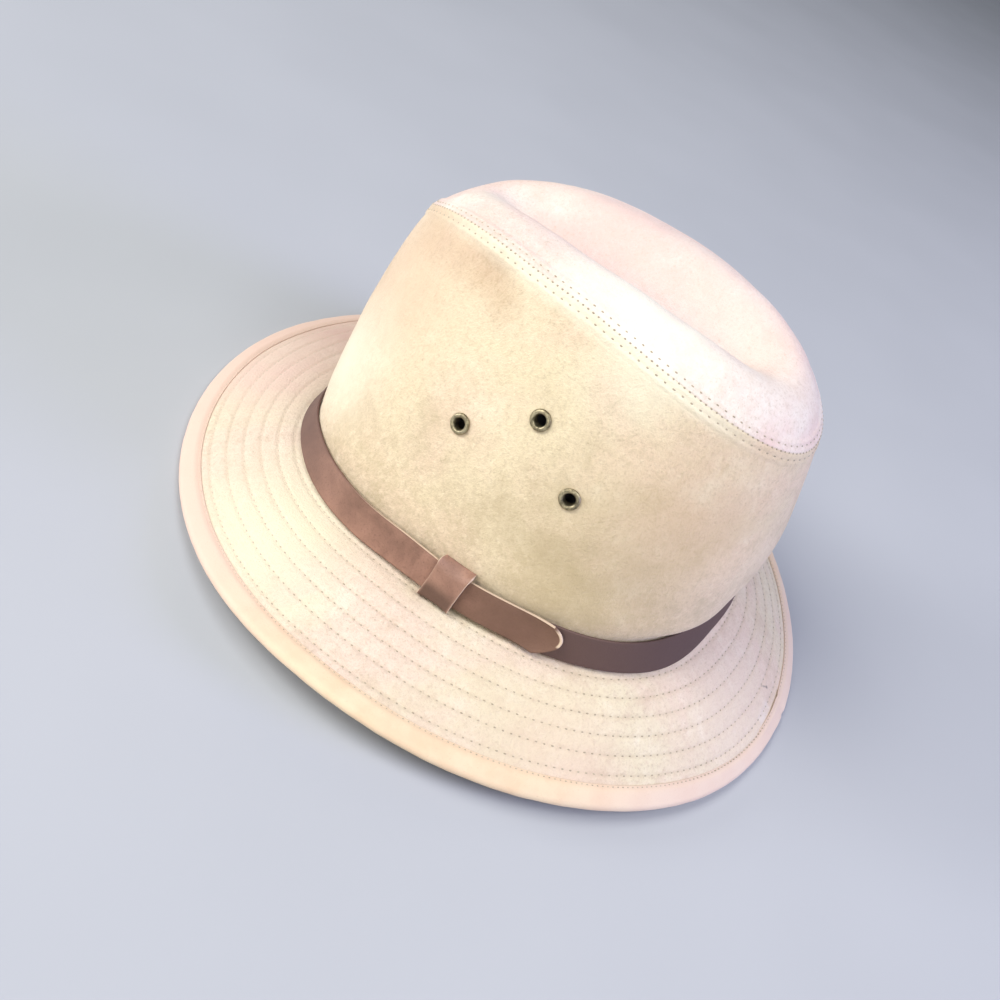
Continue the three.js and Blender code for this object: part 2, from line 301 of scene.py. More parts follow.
def seamLift(angle, distance):  # the leather stands up over the allowance, drawn down by the topstitch
    fromFront = degreesFrom(np.degrees(angle), seamWork["frontAt"])
    rise = seamWork["raise"] + seamWork["frontRaise"] * hump(fromFront, seamWork["frontSpread"])
    allowance, half = seamWork["allowance"], seamWork["slope"] / 2
    lift = rise * (1 - ramp(distance, allowance - half, allowance + half))
    return lift - seamWork["groove"] * hump(distance - seamWork["topstitch"], seamWork["grooveWidth"])


def seamOut(angle):  # halfway between the wall's facing and the tip's
    ones = np.ones_like(angle)
    return unit(np.concatenate([planNormal(angle, ones), ones[..., None]], -1))


def liftAtSeam(angle, base, distance, lift):  # both pieces rise and roll in alike, so the seam stays closed
    shared = seamOut(angle)
    facing = unit(mix(shared, faceNormals(base), ease(distance / seamWork["shared"])[..., None]))
    turnIn = seamWork["turnIn"] * hump(distance, seamWork["turnWidth"])
    return base + facing * lift[..., None] - shared * turnIn[..., None]


def seamPucker(distance):
    return hump(distance - seamWork["puckerAt"], seamWork["puckerSpread"])


def seamGroove(distance):
    alongSeam = seamWork["seamMark"] * hump(distance, seamWork["seamMarkWidth"])
    fromStitch = distance - seamWork["topstitch"]
    return np.maximum(alongSeam, seamWork["stitchMark"] * hump(fromStitch, seamWork["stitchMarkWidth"]))


# Eyelets: where they sit on the wall, and the ring's own profile

eyelet = {
    "seats": [(-6.6, 64.3), (21.7, 64.6), (8.5, 83.2)],  # degrees and height, mirrored to the other side
    "hole": 2.3, "barrel": 2.75, "flange": 4.2, "lip": 0.65, "dome": 1.25, "sides": 40, "mergeGap": 0.01,
    "innerDrop": 0.4, "innerLip": (0.12, 0.1),
    "domed": [(0.2, 0.12), (0.42, 0), (0.7, 0.1), (0.9, 0.38)],  # share of the flange, drop from its top
    "rimDrop": 0.1, "rimTuck": 0.08, "standOff": 0.02,
    "backFlange": 4.0, "backGap": 0.7, "backSheet": 0.7,
    "punchSides": 32, "punchGap": 0.3, "punchDepth": 12,
}


def eyeletSeat(degrees, height):
    turnStep, heightStep = 0.01, 1
    at = math.radians(degrees)
    seat = wallAt(at, height)
    facing = np.cross(wallAt(at + turnStep, height) - seat, wallAt(at, height + heightStep) - seat)
    return seat, unit(facing)


eyeletSeats = {}
for i, (degrees, height) in enumerate(eyelet["seats"], 1):
    eyeletSeats[f"left_{i}"] = eyeletSeat(degrees, height)
    eyeletSeats[f"right_{i}"] = eyeletSeat(180 - degrees, height)


def nearEyelet(points):
    seats = np.array([seat for seat, facing in eyeletSeats.values()])
    return np.min(np.linalg.norm(points[..., None, :] - seats, axis=-1), -1)


# Crown side: pairs such as freeFrom give where a form starts and where it is full

crownSide = {
    "columns": 360, "bodyRows": 62, "seamRows": 36, "seamZone": 0.1,
    "sag": {"amount": 0.6, "size": 42, "seed": 1}, "ripple": {"amount": 0.22, "size": 15, "seed": 2},
    "freeFrom": (16, 30), "seamHold": (3, 11), "eyeletHold": 9,
    "pucker": {"amount": 0.14, "size": 5, "seed": 3}, "puckerStretch": (1, 1, 0.4),
    "bandTop": (16, 20), "overBand": 0.9, "overBandAt": 25, "overBandSpread": 8,
    "slump": 3.0, "slumpAt": (68, 23), "slumpSpread": (16, 7),  # degrees and height
    "pinch": 1.3, "pinchAt": (-20, 111), "pinchSpread": 9, "pinchHold": (3, 9),
    "dimple": 0.3, "dimpleSpread": 6.5,
}

# at both ends the band draws the crown in, and the suede rolls out above it
drawIn = {
    "zones": [{"at": 90, "half": 52, "ramp": 36, "share": 1},  # back
              {"at": 270, "half": 46, "ramp": 28, "share": 0.9}],  # front
    "depth": 5.4, "depthFrom": (0, 9), "depthTo": (17, 39), "roll": 1.0, "rollAt": 52, "rollSpread": 15,
    "backAt": 90, "leanIn": 4.9,
    "footOut": [(1.6, 30, 16), (1.3, 154, 15), (-0.7, 0, 22)],  # amount, degrees from the back, spread
}


def drawnShare(angle):
    degrees = np.degrees(angle) % 360
    return sum(zone["share"] * ease((zone["half"] - np.abs(degrees - zone["at"])) / zone["ramp"])
               for zone in drawIn["zones"])


def strapLean(degrees, share):  # the strap's top leans in with the crown, and its foot stands out
    fromBack = np.abs(degreesFrom(degrees, drawIn["backAt"]))
    foot = sum(amount * hump(fromBack - at, spread) for amount, at, spread in drawIn["footOut"])
    return mix(foot, -drawIn["leanIn"] * drawnShare(np.radians(degrees)), share)


def crownSidePoints(angle, share):
    cut = crownSide
    top = seamHeight(angle)
    height = mix(crown["clearance"], top, share)
    base = np.concatenate([crownPlan(angle, share), height[..., None]], -1)
    distance = (1 - share) * top  # down from the seam
    eyeletAway = nearEyelet(base)
    free = ramp(height, *cut["freeFrom"]) * (1 - hump(eyeletAway, cut["eyeletHold"]))
    free = free * ramp(distance, *cut["seamHold"])
    lift = seamLift(angle, distance)
    lift += free * (unevenness(base, **cut["sag"]) + unevenness(base, **cut["ripple"]))
    lift += unevenness(base * cut["puckerStretch"], **cut["pucker"]) * seamPucker(distance)
    overBand = cut["overBand"] * hump(height - cut["overBandAt"], cut["overBandSpread"])
    fromSlump = degreesFrom(np.degrees(angle), cut["slumpAt"][0])
    slump = hump(fromSlump, cut["slumpSpread"][0]) * hump(height - cut["slumpAt"][1], cut["slumpSpread"][1])
    lift += (overBand + cut["slump"] * slump) * ramp(height, *cut["bandTop"])  # the suede sags over the band
    pinchSpot = wallAt(math.radians(cut["pinchAt"][0]), cut["pinchAt"][1])
    dent = cut["pinch"] * hump(np.linalg.norm(base - pinchSpot, axis=-1), cut["pinchSpread"])
    lift -= dent * ramp(distance, *cut["pinchHold"])
    lift -= cut["dimple"] * hump(eyeletAway, cut["dimpleSpread"])
    drawn = -drawIn["depth"] * ramp(height, *drawIn["depthFrom"]) * (1 - ramp(height, *drawIn["depthTo"]))
    roll = drawIn["roll"] * hump(height - drawIn["rollAt"], drawIn["rollSpread"])
    lift += drawnShare(angle) * (drawn + roll)
    return liftAtSeam(angle, base, distance, lift), seamGroove(distance)


def facingTurn(facing):  # from straight up to an eyelet's facing, on the leaning hat
    turn = Vector((0, 0, 1)).rotation_difference(Vector(facing)).to_matrix()
    return Matrix.Rotation(restTurn, 3, "X") @ turn


def makeCrownSide(material):
    cut = crownSide
    rows = cut["bodyRows"] + cut["seamRows"]
    piece, u, v = leatherGrid("suede_crown_side", cut["columns"], rows)
    share = np.interp(v, [0, cut["bodyRows"] / rows, 1], [0, 1 - cut["seamZone"], 1])
    layOut(piece, *crownSidePoints(u * fullTurn, share))
    thicken(piece, crown["sheet"])
    punches = []
    for seat, facing in eyeletSeats.values():  # eyelet holes
        bpy.ops.object.select_all(action="DESELECT")
        bpy.ops.mesh.primitive_cylinder_add(vertices=eyelet["punchSides"], location=metres(seat),
                                            radius=(eyelet["barrel"] + eyelet["punchGap"]) / perMetre,
                                            depth=eyelet["punchDepth"] / perMetre,
                                            rotation=facingTurn(facing).to_euler())
        punches.append(bpy.context.object)
    for punch in punches:
        punch.select_set(True)
    bpy.ops.object.join()
    punch = bpy.context.object
    bpy.ops.object.select_all(action="DESELECT")
    applyModifier(piece, "BOOLEAN", object=punch, operation="DIFFERENCE", solver="EXACT")
    bpy.data.objects.remove(punch)
    finishPiece(piece, "crown_side", material)


# Crown tip: a rounded shoulder up to the crest, then the long dent

crownTip = {
    "crest": {"front": 68, "back": 72, "half": 31, "egg": 0.12, "square": 2.2},
    "crestSide": 127.5, "crestEnd": 117, "crestPower": 3, "step": 0.42, "stepRate": 6,
    "valleyFront": 46, "valleyBack": 50, "valleyMiddle": 114, "valleyEnd": 112,
    "columns": 360, "seamRows": 30, "shoulderRows": 26, "dentRows": 34, "seamShare": 0.4,
    "sag": {"amount": 0.55, "size": 34, "seed": 4}, "ripple": {"amount": 0.25, "size": 12, "seed": 5},
    "pucker": {"amount": 0.12, "size": 5, "seed": 6},
    "seamHold": (4, 12), "valleyHold": 0.35, "valleyStill": 0.1,
}


def tipBase(angle, share):  # share 0 to 1 climbs the shoulder, 1 to 2 goes down into the dent
    cut = crownTip
    s = np.sin(angle)
    seam = seamEdge(angle)
    crestHeight = mix(cut["crestSide"], cut["crestEnd"], np.abs(s) ** cut["crestPower"])
    crest = np.concatenate([oval(angle, **cut["crest"]), crestHeight[..., None]], -1)
    valleyReach = np.where(s < 0, cut["valleyFront"], cut["valleyBack"])
    valleyHeight = mix(cut["valleyMiddle"], cut["valleyEnd"], s * s)
    valley = np.stack([np.zeros_like(s), s * valleyReach, valleyHeight], -1)
    climb, fall = np.clip(share, 0, 1), np.clip(share - 1, 0, 1)
    points = mix(mix(seam, crest, climb[..., None]), valley, fall[..., None])
    height = mix(seam[..., 2], crestHeight, np.sin(climb * math.pi / 2))
    points[..., 2] = mix(height, valleyHeight, ease(fall)) + cut["step"] * ease(climb * cut["stepRate"])
    return points


def crownTipPoints(angle, share):
    cut = crownTip
    base = tipBase(angle, share)
    steps = np.linalg.norm(np.diff(base, axis=0), axis=-1)
    distance = np.concatenate([np.zeros((1, steps.shape[1])), np.cumsum(steps, 0)])  # up from the seam
    toValley = 2 - share
    free = ramp(distance, *cut["seamHold"]) * ease(toValley / cut["valleyHold"])
    lift = seamLift(angle, distance)
    lift += free * (unevenness(base, **cut["sag"]) + unevenness(base, **cut["ripple"]))
    lift += unevenness(base, **cut["pucker"]) * seamPucker(distance)
    lift *= ease(toValley / cut["valleyStill"])
    return liftAtSeam(angle, base, distance, lift), seamGroove(distance)


def makeCrownTip(material):
    cut = crownTip
    counts = np.cumsum([0, cut["seamRows"], cut["shoulderRows"], cut["dentRows"]])
    piece, u, v = leatherGrid("suede_crown_tip", cut["columns"], int(counts[-1]))
    share = np.interp(v, counts / counts[-1], [0, cut["seamShare"], 1, 2])
    layOut(piece, *crownTipPoints(u * fullTurn, share))
    thicken(piece, crown["sheet"])
    finishPiece(piece, "crown_tip", material)


# Brim: widths along its face, and slopes down from level at its root and edge

brim = {
    "width": (57.5, 52.5, 63.5, 54, 60),  # front, front quarter, side, back quarter, back
    "rootSlope": (3, 5, 2, 16, 25),
    "edgeSlope": (21, 28, 10, 34, 43),
    "sheet": 2.2, "columns": 420, "topRows": 110, "underRows": 62,
    "stitchRows": 6, "firstRow": 3.9, "lastRowFromEdge": 12.9, "pitch": 3.4,
    "groove": 0.2, "grooveWidth": 0.8, "puff": 0.14, "flatFrom": 2, "flatOver": 3,
    "wave": {"amount": 0.45, "size": 34, "seed": 8}, "waveRise": 4, "waveFall": 8,
}
binding = {
    "width": 9.5, "sheet": 0.9, "clearance": 0.3, "columns": 480, "faceRows": 15, "foldRows": 16,
    "thinned": 0.6, "edge": 0.2, "restInsets": (2, 0.5),
    "edgeStitch": 0.75, "stitchSink": 0.4, "groove": 0.1, "grooveWidth": 0.7, "grooveMark": 0.8,
    "pad": 0.25, "pressed": 0.62, "pressedWidth": 3,
    "wrinkle": {"amount": 0.14, "size": 6, "seed": 9}, "wrinkleSlant": 0.3, "wrinkleFrom": 2,
    # its end laps over its start at the back: degrees
    "lap": 0.35, "lapFrom": 95, "lapTo": 103, "lapRamp": 4, "lapSlant": 0.25,
    "step": 0.6, "stepFrom": (55, 85), "stepEnd": 1.5,
    "gape": 0.6, "gapeFrom": 87, "gapeTo": 106, "gapeWidth": 5,
}


def roundBrim(sizes):  # varies smoothly through the five stations, the same on both sides
    front, frontQuarter, side, backQuarter, back = sizes
    ends, quarters = (front + back) / 2, (frontQuarter + backQuarter) / 2
    straight, lean = (ends + side) / 2, (back - front) / 2
    quarterLean = (backQuarter - frontQuarter) / math.sqrt(2)
    return lambda angle: ((quarters + straight) / 2 + (quarterLean + lean) / 2 * np.sin(angle)
                          + (side - ends) / 2 * np.cos(2 * angle)
                          + (quarterLean - lean) / 2 * np.sin(3 * angle)
                          + (straight - quarters) / 2 * np.cos(4 * angle))


brimWidth = roundBrim(brim["width"])
brimRootSlope = roundBrim(brim["rootSlope"])
brimEdgeSlope = roundBrim(brim["edgeSlope"])


def hangingBrim(angle, along, height):
    width = brimWidth(angle)
    root = np.radians(brimRootSlope(angle))
    turn = np.radians(brimEdgeSlope(angle)) - root
    slope = root + turn * along / width
    reach = width / turn * (np.sin(slope) - np.sin(root)) + height * np.sin(slope)
    drop = width / turn * (np.cos(root) - np.cos(slope)) - height * np.cos(slope)
    level = np.zeros_like(angle)
    plan = crownPlan(angle, level) + planNormal(angle, level) * reach[..., None]
    return np.concatenate([plan, -drop[..., None]], -1)


def overFloor(points):
    return points @ floorUp + rest["height"]


def edgeLift(angle):  # how far the floor pushes the brim's edge up
    width = brimWidth(angle)
    under = np.full_like(angle, -brim["sheet"] - binding["clearance"] - binding["sheet"])
    insets = (binding["width"], binding["width"] / 2, *binding["restInsets"])
    heights = [overFloor(hangingBrim(angle, width - inset, under)) for inset in insets]
    sunk = -np.min(heights, 0) - rest["press"]
    return (sunk + np.hypot(sunk, rest["pressBlend"])) / 2


def brimAt(angle, along, height):
    angle, along, height = np.broadcast_arrays(*(np.asarray(a, float) for a in (angle, along, height)))
    points = hangingBrim(angle, along, height)
    bend = ramp(along / brimWidth(angle), rest["pressedShare"], 1)
    points = points + floorUp * (edgeLift(angle) * bend)[..., None]
    return points + floorUp * np.maximum(0, -overFloor(points))[..., None]


def stitchLine(angle, row):  # distance out along the brim to a row of stitches
    first = brim["firstRow"]
    return first + (brimWidth(angle) - brim["lastRowFromEdge"] - first) * row / (brim["stitchRows"] - 1)


def brimRelief(angle, along):
    rows = np.array([stitchLine(angle, row) for row in range(brim["stitchRows"])])
    near = np.min(np.abs(along - rows), 0)
    spacing = rows[1] - rows[0]
    puff = brim["puff"] * np.sin(np.clip(near / spacing, 0, 0.5) * math.pi)
    groove = hump(near, brim["grooveWidth"])
    toBinding = brimWidth(angle) - binding["width"] - along
    edge = ease((toBinding + brim["flatFrom"]) / brim["flatOver"])  # flat inside the binding
    return (puff - brim["groove"] * groove) * edge, groove * edge


def brimWave(angle, along):
    out = along / brimWidth(angle)
    wave = unevenness(brimAt(angle, along, 0), **brim["wave"])
    return wave * ease(out * brim["waveRise"]) * ease((1 - out) * brim["waveFall"])


def makeBrim(material):
    cut = brim
    # rows run out along the underside, over the edge, back along the top and round the root
    underEnd = 1 + cut["underRows"]
    topStart = underEnd + 2
    topEnd = topStart + cut["topRows"]
    rows = topEnd + 2
    piece, u, v = leatherGrid("suede_brim", cut["columns"], rows)
    angle, row = u * fullTurn, np.rint(v * rows)
    reach = brimWidth(angle) - binding["sheet"] - 2 * binding["clearance"]
    along = reach * np.interp(row, [0, 1, underEnd, topStart, topEnd, rows], [0, 0, 1, 1, 0, 0])
    relief, groove = brimRelief(angle, along)
    height = np.where(row >= topStart, relief, -cut["sheet"] - relief) + brimWave(angle, along)
    points = brimAt(angle, along, height)
    edgeRow = row == underEnd + 1
    points[edgeRow] = brimAt(angle, along, np.full_like(angle, -cut["sheet"] / 2))[edgeRow]
    isRoot = (row == 0) | (row > topEnd)
    root = wallAt(angle, np.zeros_like(angle), -crown["sheet"])
    root[..., 2] = np.where((row == 0) | (row == rows), -cut["sheet"], 0)
    points[isRoot] = root[isRoot]
    layOut(piece, points, groove * ~isRoot)
    finishPiece(piece, "brim", material)


def makeBinding(material):
    cut = binding
    face, fold = cut["faceRows"], cut["foldRows"]
    rows = 2 * face + fold
    piece, u, v = leatherGrid("brim_edge_binding", cut["columns"], rows)
    angle, row = u * fullTurn, np.rint(v * rows)
    degrees = degreesFrom(np.degrees(angle))
    radius = cut["clearance"] + cut["sheet"] + brim["sheet"] / 2
    straight = cut["width"] - radius
    # from the underside's inner edge out, round the fold, and back over the top
    flat = np.interp(row, [0, face, face + fold, rows], [0, straight, straight, 0])
    bend = np.radians(np.interp(row, [face, face + fold], [-90, 90]))
    base = brimAt(angle, brimWidth(angle) - radius, 0.0)
    worn = unevenness(base + flat[..., None] * cut["wrinkleSlant"], **cut["wrinkle"])
    groove = hump(flat - cut["edgeStitch"], cut["grooveWidth"])
    lapEnd = cut["lapTo"] - cut["lapSlant"] * flat
    lapped = ease((degrees - cut["lapFrom"]) / cut["lapRamp"]) * (degrees < lapEnd)
    stepped = ease((cut["lapTo"] - degrees) / cut["stepEnd"]) * ramp(degrees, *cut["stepFrom"])
    swell = worn * ease(flat / cut["wrinkleFrom"])
    swell += cut["pad"] * np.sin(np.clip(flat / straight, 0, 1) * math.pi / 2)
    swell += cut["lap"] * lapped - cut["step"] * stepped - cut["groove"] * groove
    swell -= cut["pressed"] * (1 - ease(flat / cut["pressedWidth"]))
    gapeShare = np.clip((degrees - cut["gapeFrom"]) / (cut["gapeTo"] - cut["gapeFrom"]), 0, 1)
    gape = cut["gape"] * np.sin(gapeShare * math.pi) * ease(1 - flat / cut["gapeWidth"]) * (row > rows / 2)
    along = brimWidth(angle) - radius + np.cos(bend) * (radius + swell) - (straight - flat)
    height = -brim["sheet"] / 2 + np.sin(bend) * (radius + swell) + gape + brimWave(angle, along)
    layOut(piece, brimAt(angle, along, height), groove * cut["grooveMark"])
    thicken(piece, cut["sheet"] * cut["thinned"], cut["edge"])
    finishPiece(piece, "brim_binding", material)


# Band: one strap lapped over itself, held by a keeper

strap = {
    "bottom": 1.5, "width": 15, "sheet": 1.15, "gap": 0.4, "edge": 0.32, "mmPerDegree": 1.62,
    "start": -13, "tip": 35.0, "step": 5, "lapRamp": 28,  # degrees
    "lapRaise": 1.5, "lapRaiseFrom": (342, 366),
    # the end is cut to a blunt point above its middle, and curls
    "pointAt": 0.15, "roundTop": 5, "topPower": 2.2, "roundBottom": 7, "bottomPower": 2,
    "curl": 1.9, "curlLength": 10,
    # the start is narrower, and hidden by the lap
    "startTrim": 1.2, "startTrimEnd": (14, 26), "startNarrow": 2.4,
    "dip": 0.7, "dipSpread": 6, "wave": {"amount": 0.12, "size": 20, "seed": 11},
    "columns": 520, "rows": 18, "crowding": 1.12,  # closer columns near the rounded end
}
keeper = {
    "angle": 8.7, "halfAngle": 3.9, "bottom": 0.35, "top": 19.7, "sheet": 0.85, "edge": 0.2,
    "clearance": 0.2, "slack": 1.0, "corner": 0.5, "frontCorner": 2.0, "flat": 5.5, "end": 17,
    "skew": 0.06, "flare": 0.8, "waist": 1.5, "ears": 1.2, "earRamp": 8, "pinch": 0.05,
    "cornerSteps": 6, "faceSteps": 22, "sideSteps": 5, "rows": 14,
}


def strapInner(degrees):  # the under layer rises over the back of the keeper
    over = 1 - ramp(np.abs(degrees - keeper["angle"]), keeper["flat"], keeper["end"])
    return mix(strap["gap"], keeper["sheet"] + 2 * keeper["clearance"], over)


def strapLap(degrees):  # 0 on the first turn, 1 where the end lies over the start
    return ease((degrees - 360 - strap["start"] + strap["lapRamp"] + strap["step"]) / strap["lapRamp"])


def strapLayer(degrees):
    over = strapInner(degrees - 360) + strap["sheet"] + keeper["clearance"]
    return mix(strapInner(degrees), over, strapLap(degrees))


def makeStrap(material):
    cut = strap
    piece, u, v = leatherGrid("leather_hat_band", cut["columns"], cut["rows"])
    aside = 2 * v - 1 - cut["pointAt"]
    roundTop = cut["roundTop"] * (np.abs(aside) / (1 - cut["pointAt"])) ** cut["topPower"]
    roundBottom = cut["roundBottom"] * (np.abs(aside) / (1 + cut["pointAt"])) ** cut["bottomPower"]
    end = cut["tip"] + 360 - np.where(aside > 0, roundTop, roundBottom) / cut["mmPerDegree"]
    degrees = mix(cut["start"], end, 1 - (1 - u) ** cut["crowding"])
    toTip = (end - degrees) * cut["mmPerDegree"]
    near = strapLayer(degrees) + cut["curl"] * np.clip(1 - toTip / cut["curlLength"], 0, 1) ** 2
    near = near + strapLean(degrees, v)
    trimmed = cut["startTrim"] * (1 - ramp(degrees, *cut["startTrimEnd"]))
    height = cut["bottom"] + trimmed + cut["lapRaise"] * ramp(degrees, *cut["lapRaiseFrom"])
    height = height + (cut["width"] - cut["startNarrow"] * trimmed) * v
    height = height - cut["dip"] * v * hump(degreesFrom(degrees, keeper["angle"]), cut["dipSpread"])
    wave = unevenness(wallAt(np.radians(degrees), height), **cut["wave"])
    layOut(piece, wallAt(np.radians(degrees), height, near + cut["sheet"] + wave), 0)
    thicken(piece, cut["sheet"], cut["edge"])
    finishPiece(piece, "hat_band", material)


def makeKeeper(material):
    cut = keeper
    near = cut["clearance"] + cut["sheet"]
    far = near + 2 * strap["sheet"] + 3 * cut["clearance"] + cut["slack"]
    low, high = cut["bottom"] + cut["sheet"], cut["top"] - cut["sheet"]
    front, back = cut["frontCorner"], cut["corner"]
    # the loop's outer face: top, down the front, under, and up the back
    corners = [(far - front, high - front, front, 90), (far - front, low + front, front, 0),
               (near + back, low + back, back, -90), (near + back, high - back, back, -180)]
    loop = []
    for out, height, corner, turn in corners:
        for bend in np.radians(np.linspace(turn, turn - 90, cut["cornerSteps"] + 1)):
            radius = corner + cut["sheet"]
            loop.append((out + radius * math.cos(bend), height + radius * math.sin(bend)))
    loop = np.array(loop + loop[:1])
    lengths = np.concatenate([[0], np.cumsum(np.linalg.norm(np.diff(loop, axis=0), axis=1))])
    columns = 4 * cut["cornerSteps"] + 2 * cut["faceSteps"] + 2 * cut["sideSteps"]
    stops = np.sort(np.unique(np.concatenate([lengths, np.linspace(0, lengths[-1], columns)]).round(4)))
    piece, u, v = leatherGrid("leather_band_keeper", len(stops) - 1, cut["rows"])
    at = stops[np.rint(u * (len(stops) - 1)).astype(int)]
    out, height = np.interp(at, lengths, loop[:, 0]), np.interp(at, lengths, loop[:, 1])
    side = 2 * v - 1
    middle = (cut["bottom"] + cut["top"]) / 2
    front = ramp(out, near, far)
    fromMiddle = (height - middle) / (cut["top"] - middle)
    half = cut["halfAngle"] * (1 - cut["pinch"] * front * (1 - fromMiddle ** 2))
    degrees = cut["angle"] + side * half + cut["skew"] * (height - middle)
    out = out + cut["flare"] * front * side ** 2
    ears = cut["ears"] * side ** 2 - cut["waist"] * (1 - side ** 2)
    height = height + ears * ease((height - middle) / cut["earRamp"]) * front
    layOut(piece, wallAt(np.radians(degrees), height, out), 0)
    thicken(piece, cut["sheet"], cut["edge"])
    finishPiece(piece, "band_keeper", material)


# Eyelets: one ring, drawn out of a circle step by step, then copied to each seat

def ringProfile(cut):  # radius and height, from the hole over the flange, through the wall and back
    hole, flange, barrel, back = cut["hole"], cut["flange"], cut["barrel"], cut["backFlange"]
    seat = -crown["sheet"] - cut["backGap"]
    rolled = seat - cut["backSheet"]
    lipOut, lipUp = cut["innerLip"]
    inner = [(hole, cut["lip"] - cut["innerDrop"]), (hole + lipOut, cut["lip"] + lipUp)]
    domed = [(mix(hole, flange, share), cut["dome"] - drop) for share, drop in cut["domed"]]
    rim = [(flange, cut["lip"] - cut["rimDrop"]), (flange - cut["rimTuck"], cut["standOff"])]
    behind = [(barrel, cut["standOff"]), (barrel, seat), (back, seat), (back, rolled), (barrel, rolled),
              (hole, seat)]
    return inner + domed + rim + behind


def makeEyelets(material):
    cut = eyelet
    profile = ringProfile(cut)
    bpy.ops.object.select_all(action="DESELECT")
    firstRadius, firstHeight = profile[0]
    bpy.ops.mesh.primitive_circle_add(vertices=cut["sides"], radius=firstRadius, location=(0, 0, firstHeight))
    ring = bpy.context.object
    bpy.ops.object.transform_apply(location=True)
    bpy.ops.object.mode_set(mode="EDIT")
    bpy.ops.mesh.select_all(action="SELECT")
    for (radius, height), (nextRadius, nextHeight) in zip(profile, profile[1:] + profile[:1]):
        grow = nextRadius / radius
        bpy.ops.mesh.extrude_region_move(TRANSFORM_OT_translate={"value": (0, 0, nextHeight - height)})
        bpy.ops.transform.resize(value=(grow, grow, 1), center_override=(0, 0, nextHeight))
    bpy.ops.mesh.select_all(action="SELECT")
    bpy.ops.mesh.remove_doubles(threshold=cut["mergeGap"])
    bpy.ops.mesh.normals_make_consistent(inside=False)
    bpy.ops.object.mode_set(mode="OBJECT")
    bpy.ops.object.shade_smooth_by_angle(angle=crispAngle)
    for name, (place, facing) in eyeletSeats.items():
        copy = ring.copy()
        copy.data = ring.data.copy()
        copy.name = copy.data.name = f"eyelet_ring_{name}"
        bpy.context.collection.objects.link(copy)
        turn = facingTurn(facing).to_4x4()
        copy.data.transform(Matrix.Translation(metres(place)) @ turn @ Matrix.Scale(1 / perMetre, 4))
        finishPiece(copy, f"eyelet_{name}", material)
    bpy.data.objects.remove(ring)


# Stitching: one stitch, copied along each row

stitch = {
    "length": 1.7, "radius": 0.34, "sink": 0.06, "bow": 0.35, "jitter": 0.08, "seed": 41,
    "sides": 8, "rings": 5, "pathSteps": 1801, "turnStep": 0.002,
    "tipPitch": 3.7, "sidePitch": 3.9, "seamPitch": 2.4, "seamLength": 1.3, "seamRadius": 0.38,
    "bindingPitch": 2.3, "bindingLength": 1.1, "bindingRadius": 0.24,
    # to find a line on the tip
    "tipSteps": 41, "tipMmPerShare": 100, "tipShareStep": 0.02, "tipTurnStep": 0.01,
}
dice = np.random.default_rng(stitch["seed"])


def stitchShape():
    bpy.ops.object.select_all(action="DESELECT")
    bpy.ops.mesh.primitive_uv_sphere_add(segments=stitch["sides"], ring_count=stitch["rings"], radius=1,
                                         rotation=(0, math.pi / 2, 0))
    bpy.ops.object.transform_apply(rotation=True)
    mesh = bpy.context.object.data
    shape = np.array([vertex.co for vertex in mesh.vertices])
    faces = [list(face.vertices) for face in mesh.polygons]
    bpy.data.objects.remove(bpy.context.object)
    return shape, faces


stitchVerts, stitchFaces = stitchShape()


def sewRow(place, pitch, length=stitch["length"], radius=stitch["radius"]):
    # place(angle, lift) gives the row's line on the leather
    fine = np.linspace(0, fullTurn, stitch["pathSteps"])
    path = place(fine, 0.0)
    run = np.concatenate([[0], np.cumsum(np.linalg.norm(np.diff(path, axis=0), axis=-1))])
    count = round(run[-1] / pitch)
    at = np.interp((np.arange(count) + 0.5) / count * run[-1], run, fine)
    middle = place(at, 0.0)
    along = unit(place(at + stitch["turnStep"], 0.0) - place(at - stitch["turnStep"], 0.0))
    up = unit(place(at, 1.0) - middle)
    aside = np.cross(up, along)
    along = unit(along + aside * dice.normal(0, stitch["jitter"], (count, 1)))
    aside = np.cross(up, along)
    half = length / 2 * dice.normal(1, stitch["jitter"], (count, 1))
    x, y, z = stitchVerts.T
    bow = radius * z - stitch["sink"] - stitch["bow"] * x * x
    return (middle[:, None] + along[:, None] * (half * x)[..., None] + aside[:, None] * (radius * y)[:, None]
            + up[:, None] * bow[:, None])


def makeStitching(name, rows, material):
    points = np.concatenate(rows)
    size = points.shape[1]
    faces = [[corner + i * size for corner in face] for i in range(len(points)) for face in stitchFaces]
    mesh = bpy.data.meshes.new(name)
    mesh.from_pydata(setDown(points).reshape(-1, 3), [], faces)
    mesh.update()
    piece = bpy.data.objects.new(name, mesh)
    bpy.context.collection.objects.link(piece)
    bpy.ops.object.select_all(action="DESELECT")
    piece.select_set(True)
    bpy.context.view_layer.objects.active = piece
    bpy.ops.object.mode_set(mode="EDIT")
    bpy.ops.mesh.select_all(action="SELECT")
    bpy.ops.mesh.normals_make_consistent(inside=False)
    bpy.ops.object.mode_set(mode="OBJECT")
    bpy.ops.object.shade_smooth()
    finishPiece(piece, None, material)


def onBrim(angle, along, out, side):  # side is 1 for the top face, -1 for the under face
    height = out if side > 0 else -brim["sheet"] - out
    return brimAt(angle, along, brimWave(angle, along) + height)


def brimRow(row, side):
    def place(angle, lift):
        along = stitchLine(angle, row)
        return onBrim(angle, along, brimRelief(angle, along)[0] + lift, side)
    return place


def bindingRow(side):
    over = binding["clearance"] + binding["sheet"] - binding["groove"] - binding["stitchSink"]

    def place(angle, lift):
        along = brimWidth(angle) - binding["width"] + binding["edgeStitch"]
        return onBrim(angle, along, over + lift, side)
    return place


def onWall(distance):
    def place(angle, lift):
        height = seamHeight(angle) - distance
        return wallAt(angle, height, seamLift(angle, distance) + lift)
    return place


